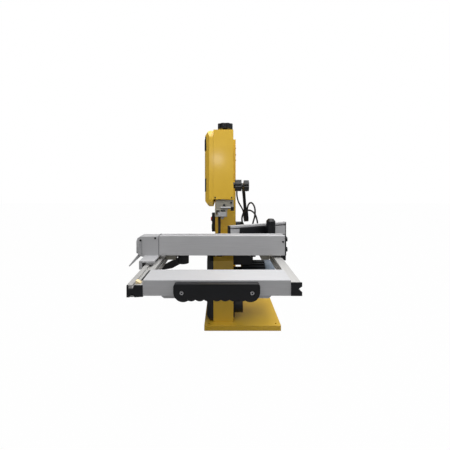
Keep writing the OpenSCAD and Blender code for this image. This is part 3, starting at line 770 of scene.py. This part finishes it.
class BANDSAW_OT_frame(bpy.types.Operator):
    """Finish the base, the column, the wheel housings and the doors"""

    bl_idname = "bandsaw.frame"
    bl_label = "Frame and doors"

    def execute(self, context):
        finish_nodes(
            "base_plate frame_spine upper_wheel_housing lower_wheel_housing "
            "frame_fasteners upper_door lower_door".split(),
            1.0,
        )
        self.label_and_painted_shade()
        return {"FINISHED"}

    def label_and_painted_shade(self):
        """Black plates on the upper door's flat front and on its sloping edge: the front label,
        partly painted shade and reflection.
        """
        bm = bmesh.new()
        slab(bm, (-136, -150.4, 540), (84, -149.0, 766))
        slab(bm, (85, -150.4, 540), (146, -149.0, 700))
        round_edges(bm, 0.5)
        # Strips on the sloping edge: dark bands drawn as black plates, partly painted shade and
        # reflection.
        for low, high in ((541, 594), (706, 764)):
            verts = slab(bm, (0, -0.1, low), (8, 0.5, high))
            turn = Matrix.Rotation(DOOR_SLOPE, 4, "Z")
            place = Matrix.Translation(Vector((148, -149, 0)) * MM)
            bmesh.ops.transform(bm, matrix=place @ turn @ FLIP_Y, verts=verts)
        bmesh.ops.recalc_face_normals(bm, faces=bm.faces)
        piece("door_trim_panel", bm, "abs_black", "upper_door")


class BANDSAW_OT_drive(bpy.types.Operator):
    """Finish the wheels, the belt and the blade, and cut the blade's teeth"""

    bl_idname = "bandsaw.drive"
    bl_label = "Wheels and blade"

    def execute(self, context):
        finish_nodes(
            "upper_wheel upper_tyre lower_wheel lower_tyre motor_pulley drive_belt "
            "lower_fittings tension_block".split(),
            0.5,
        )
        NODES["blade"].data.materials.clear()
        NODES["blade"].data.materials.append(FINISH["blade_steel"])
        self.teeth(context.scene.saw_blade)
        return {"FINISHED"}

    def teeth(self, settings):
        """Teeth along the front edge of the cutting run, their tips pointing down."""
        low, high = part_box("blade")
        shape = ((0, 0.42), (0, -0.42), (-1, -0.42), (-0.55, -0.05))
        outline = [(y * settings.depth, z * settings.pitch) for y, z in shape]
        bm = bmesh.new()
        prism(bm, outline, high.x - BAND_MM * MM, high.x)
        unit = bpy.data.meshes.new("tooth")
        bm.to_mesh(unit)
        bm.free()
        row_on_path(
            "blade_teeth",
            [Vector((0, low.y, z)) for z in TEETH_TOP_FOOT],
            unit,
            settings.pitch,
            "blade_steel",
            "frame",
        )


class BANDSAW_OT_motor(bpy.types.Operator):
    """Finish the motor, its terminal box and the dust outlet"""

    bl_idname = "bandsaw.motor"
    bl_label = "Motor and dust outlet"

    def execute(self, context):
        finish_nodes("motor_body motor_end_cover terminal_box dust_port".split(), 0.8)
        bm = bmesh.new()
        ring_r, cover_y = 62, 132
        for a in (45, 135, 225, 315):
            x = MOTOR_AXIS[0] + ring_r * math.cos(math.radians(a))
            z = MOTOR_AXIS[1] + ring_r * math.sin(math.radians(a))
            pan_screw(bm, (x, cover_y, z), (0, 1, 0), 3.6)
        for x in (47, 103):
            for y in (-26, 26):
                pan_screw(bm, (x, y, 272), (0, 0, 1), 3.0)
        piece("motor_screws", bm, "blade_steel", "frame")
        return {"FINISHED"}


class BANDSAW_OT_table(bpy.types.Operator):
    """Finish the table, its trunnion and the brackets under it"""

    bl_idname = "bandsaw.table"
    bl_label = "Table"

    def execute(self, context):
        finish_nodes(
            "table_top table_insert carriers trunnion_base trunnion_segment tilt_knob "
            "extension_lever".split(),
            0.6,
        )
        return {"FINISHED"}


class BANDSAW_OT_extension(bpy.types.Operator):
    """Finish the rails, the side support and its handle"""

    bl_idname = "bandsaw.extension"
    bl_label = "Table extension"

    def execute(self, context):
        finish_nodes(
            "front_rail rear_rail rail_caps end_bar handle_screws".split(), 0.6
        )
        finish_nodes(["extension_handle"], 1.6)
        # Dark star-shaped marks on the handle screws' faces: painted shade for their drive
        # recesses, which are not cut.
        bm = bmesh.new()
        for y in (-180, -5):
            for a in (20, 65, 110, 155):
                verts = slab(bm, (614.8, -2.2, -0.5), (615.3, 2.2, 0.5))
                turn = Matrix.Rotation(math.radians(a), 4, "X")
                place = Matrix.Translation(Vector((0, y, 308.5)) * MM)
                bmesh.ops.transform(bm, matrix=place @ turn, verts=verts)
        piece("handle_screw_crosses", bm, "abs_black", "extension")
        # Thin dark strip laid along the slot on the rail's top, which makes the slot read darker
        # and wider.
        bm = bmesh.new()
        slab(bm, (480, -294.5, 322.8), (566, -289.5, 323.25))
        piece("rail_seal_strip", bm, "rubber", "extension")
        self.marker()
        self.scale(context.scene.saw_scale)
        return {"FINISHED"}

    def marker(self):
        """Wedge-shaped marker that shows the fence's place."""
        outline = [(-301, 323), (-287, 323), (-287, 325), (-299, 331), (-301, 331)]
        bm = bmesh.new()
        prism(bm, [(y * MM, z * MM) for y, z in outline], 576 * MM, 590 * MM)
        round_edges(bm, 0.5)
        wedge = piece("pointer_wedge", bm, "marker_cream", "extension")
        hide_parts("pointer_piece")

    def scale(self, settings):
        """Short division marks along the front rail's outer face."""
        bm = bmesh.new()
        slab(bm, (-0.25, -0.15, -settings.mark / MM / 2), (0.25, 0.1, settings.mark / MM / 2))
        unit = bpy.data.meshes.new("division")
        bm.to_mesh(unit)
        bm.free()
        row_on_path(
            "rail_divisions",
            [Vector((0.1, -0.321, 0.3175)), Vector((0.56, -0.321, 0.3175))],
            unit,
            settings.division,
            "knob_black",
            "extension",
        )


class BANDSAW_OT_fence(bpy.types.Operator):
    """Finish the rip fence"""

    bl_idname = "bandsaw.fence"
    bl_label = "Rip fence"

    def execute(self, context):
        finish_nodes("fence_bar fence_head fence_lever fence_caps fence_pin".split(), 0.8)
        # Dark strips on the fence head: painted shadow for the gap where the head meets the
        # fence bar, and a thin dark line further along the head's face.
        bm = bmesh.new()
        slab(bm, (323, -291.8, 335.8), (363.3, -290.4, 402.2))
        slab(bm, (362.8, -347.8, 340), (363.2, -347.0, 388))
        piece("head_gasket", bm, "abs_black", "fence")
        bm = bmesh.new()
        for y, z in ((123, 382), (-352, 387), (-303, 394)):
            pan_screw(bm, (363, y, z), (1, 0, 0), 3.4)
        piece("fence_screws", bm, "knob_black", "fence")
        return {"FINISHED"}


class BANDSAW_OT_mitre(bpy.types.Operator):
    """Finish the mitre gauge"""

    bl_idname = "bandsaw.mitre"
    bl_label = "Mitre gauge"

    def execute(self, context):
        finish_nodes("mitre_bar mitre_head mitre_fence mitre_knob".split(), 0.6)
        return {"FINISHED"}


class BANDSAW_OT_guide(bpy.types.Operator):
    """Finish the blade guide"""

    bl_idname = "bandsaw.guide"
    bl_label = "Blade guide"

    def execute(self, context):
        finish_nodes(
            "guide_post guide_bracket guide_bearings guide_screws".split(), 0.6
        )
        finish_nodes(["guide_lock_knob"], 2.0)
        bm = bmesh.new()
        hex_bolt(bm, (162.5, -72, 486.5), (1, 0, 0), 5.4, 4)
        hex_bolt(bm, (162.5, -44, 497), (1, 0, 0), 4.2, 3.4)
        # Thin dark plate on the bracket's face, below the bolts.
        slab(bm, (165, -86, 461.5), (165.6, -67, 467))
        piece("guide_bolts", bm, "blade_steel", "guide")
        bm = bmesh.new()
        lathe(bm, [(0, 0), (3.2, 0.4), (3.2, 41), (0, 41.4)], (167, -86, 477.5), (0, 1, 0), 24)
        slab(bm, (165, -98, 442), (168, -64, 459))
        piece("guide_pin_and_block", bm, "light_alloy", "guide")
        return {"FINISHED"}


class BANDSAW_OT_controls(bpy.types.Operator):
    """Finish the switch and the knobs"""

    bl_idname = "bandsaw.controls"
    bl_label = "Switch and knobs"

    def execute(self, context):
        finish_nodes(
            "switch_housing green_button red_button upper_door_latch lower_door_latch".split(),
            0.8,
        )
        finish_nodes("tension_knob tracking_knob cord_hooks".split(), 2.0)
        bm = bmesh.new()
        for z in (334.5, 417.5):
            pan_screw(bm, (-137, -131, z), (0, -1, 0), 2.6)
        piece("switch_screws", bm, "blade_steel", "frame")
        return {"FINISHED"}


class BANDSAW_PT_panel(bpy.types.Panel):
    """Lists the saw's groups of pieces and their settings"""

    bl_label = "Band Saw"
    bl_idname = "BANDSAW_PT_panel"
    bl_space_type = "VIEW_3D"
    bl_region_type = "UI"
    bl_category = "Band Saw"

    def draw(self, context):
        for operator in OPERATORS:
            self.layout.operator(operator.bl_idname)
        for name in GROUPS:
            group = getattr(context.scene, name)
            for key in group.bl_rna.properties.keys():
                if key not in {"rna_type", "name"}:
                    self.layout.prop(group, key)


OPERATORS = (
    BANDSAW_OT_stage,
    BANDSAW_OT_cord,
    BANDSAW_OT_frame,
    BANDSAW_OT_drive,
    BANDSAW_OT_motor,
    BANDSAW_OT_table,
    BANDSAW_OT_extension,
    BANDSAW_OT_fence,
    BANDSAW_OT_mitre,
    BANDSAW_OT_guide,
    BANDSAW_OT_controls,
)
GROUPS = {
    "saw_cord": SawCordSettings,
    "saw_blade": SawBladeSettings,
    "saw_scale": SawScaleSettings,
    "saw_stage": SawStageSettings,
}


def register():
    for kind in (*GROUPS.values(), *OPERATORS, BANDSAW_PT_panel):
        bpy.utils.register_class(kind)
    for name, kind in GROUPS.items():
        setattr(bpy.types.Scene, name, bpy.props.PointerProperty(type=kind))


def unregister():
    for name in GROUPS:
        delattr(bpy.types.Scene, name)
    for kind in reversed((*GROUPS.values(), *OPERATORS, BANDSAW_PT_panel)):
        bpy.utils.unregister_class(kind)


def main():
    """Register the saw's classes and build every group."""
    register()
    FINISH.update(build_materials())
    bpy.context.scene.view_settings.view_transform = "Standard"
    for operator in OPERATORS:
        group, name = operator.bl_idname.split(".")
        getattr(getattr(bpy.ops, group), name)()


if __name__ == "__main__":
    main()
